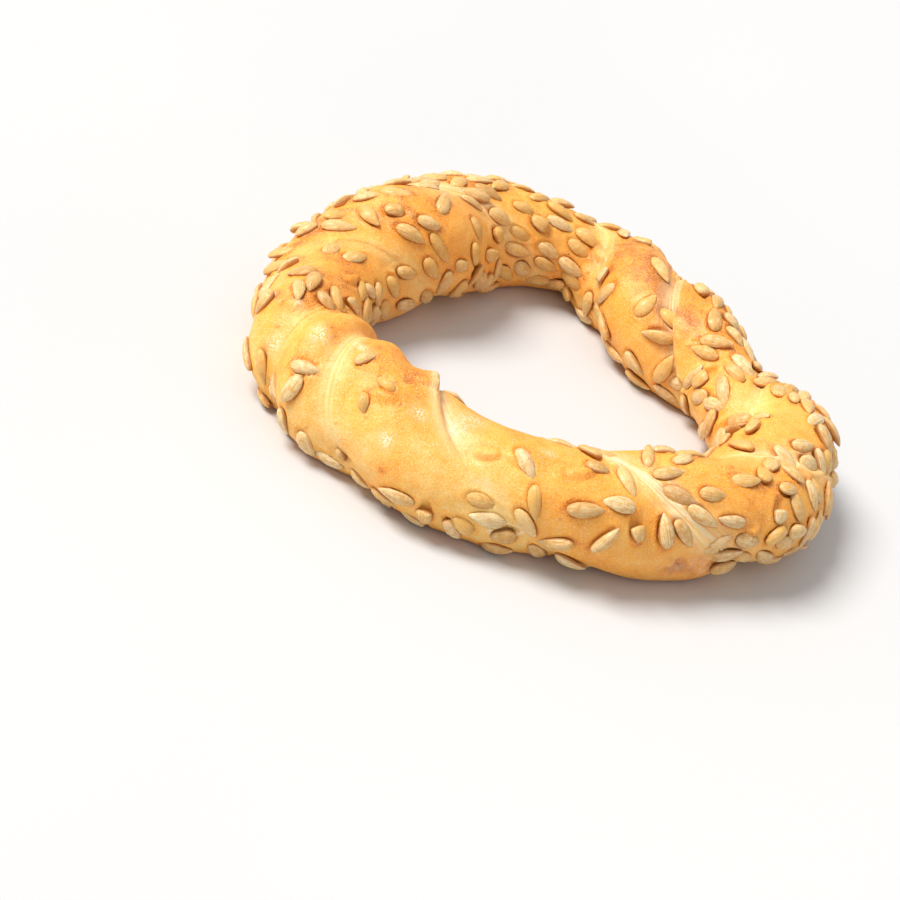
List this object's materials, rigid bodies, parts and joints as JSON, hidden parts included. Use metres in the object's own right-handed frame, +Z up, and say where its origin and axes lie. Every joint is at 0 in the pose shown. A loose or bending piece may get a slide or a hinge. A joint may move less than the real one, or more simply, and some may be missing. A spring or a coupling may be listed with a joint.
{
  "type": "simit",
  "caption": "Twisted ring of baked dough with sunflower kernels pressed into its crust, lying flat on its underside.",
  "frame": {"origin": "under the middle of the ring, at the height of the surface that it lies on", "axes": "+Z up through the ring's hole, +X to the right and +Y to the back of the ring"},
  "size_m": [0.1614, 0.1558, 0.0352],
  "materials": {
    "crust": "satin baked crust, golden brown on top and cream in the seams",
    "kernel": "dry roasted sunflower kernel, beige with tan edges"
  },
  "bodies": {
    "root": {"dough_ring": "crust", "kernel_front_1": "kernel", "kernel_front_2": "kernel", "kernel_front_3": "kernel", "kernel_front_4": "kernel", "kernel_front_5": "kernel", "kernel_front_6": "kernel", "kernel_front_7": "kernel", "kernel_front_8": "kernel", "kernel_front_9": "kernel", "kernel_front_10": "kernel", "kernel_front_11": "kernel", "kernel_front_12": "kernel", "kernel_front_13": "kernel", "kernel_front_14": "kernel", "kernel_front_15": "kernel", "kernel_front_16": "kernel", "kernel_front_17": "kernel", "kernel_front_18": "kernel", "kernel_front_19": "kernel", "kernel_front_20": "kernel", "kernel_front_21": "kernel", "kernel_front_22": "kernel", "kernel_front_23": "kernel", "kernel_front_24": "kernel", "kernel_front_25": "kernel", "kernel_right_1": "kernel", "kernel_right_2": "kernel", "kernel_right_3": "kernel", "kernel_right_4": "kernel", "kernel_right_5": "kernel", "kernel_right_6": "kernel", "kernel_right_7": "kernel", "kernel_right_8": "kernel", "kernel_right_9": "kernel", "kernel_right_10": "kernel", "kernel_right_11": "kernel", "kernel_right_12": "kernel", "kernel_right_13": "kernel", "kernel_right_14": "kernel", "kernel_back_1": "kernel", "kernel_back_2": "kernel", "kernel_back_3": "kernel", "kernel_back_4": "kernel", "kernel_back_5": "kernel", "kernel_back_6": "kernel", "kernel_back_7": "kernel", "kernel_back_8": "kernel", "kernel_back_9": "kernel", "kernel_back_10": "kernel", "kernel_left_1": "kernel", "kernel_left_2": "kernel", "kernel_left_3": "kernel", "kernel_left_4": "kernel", "kernel_left_5": "kernel", "kernel_left_6": "kernel", "kernel_left_7": "kernel", "kernel_left_8": "kernel", "kernel_left_9": "kernel", "kernel_left_10": "kernel"}
  },
  "joints": []
}
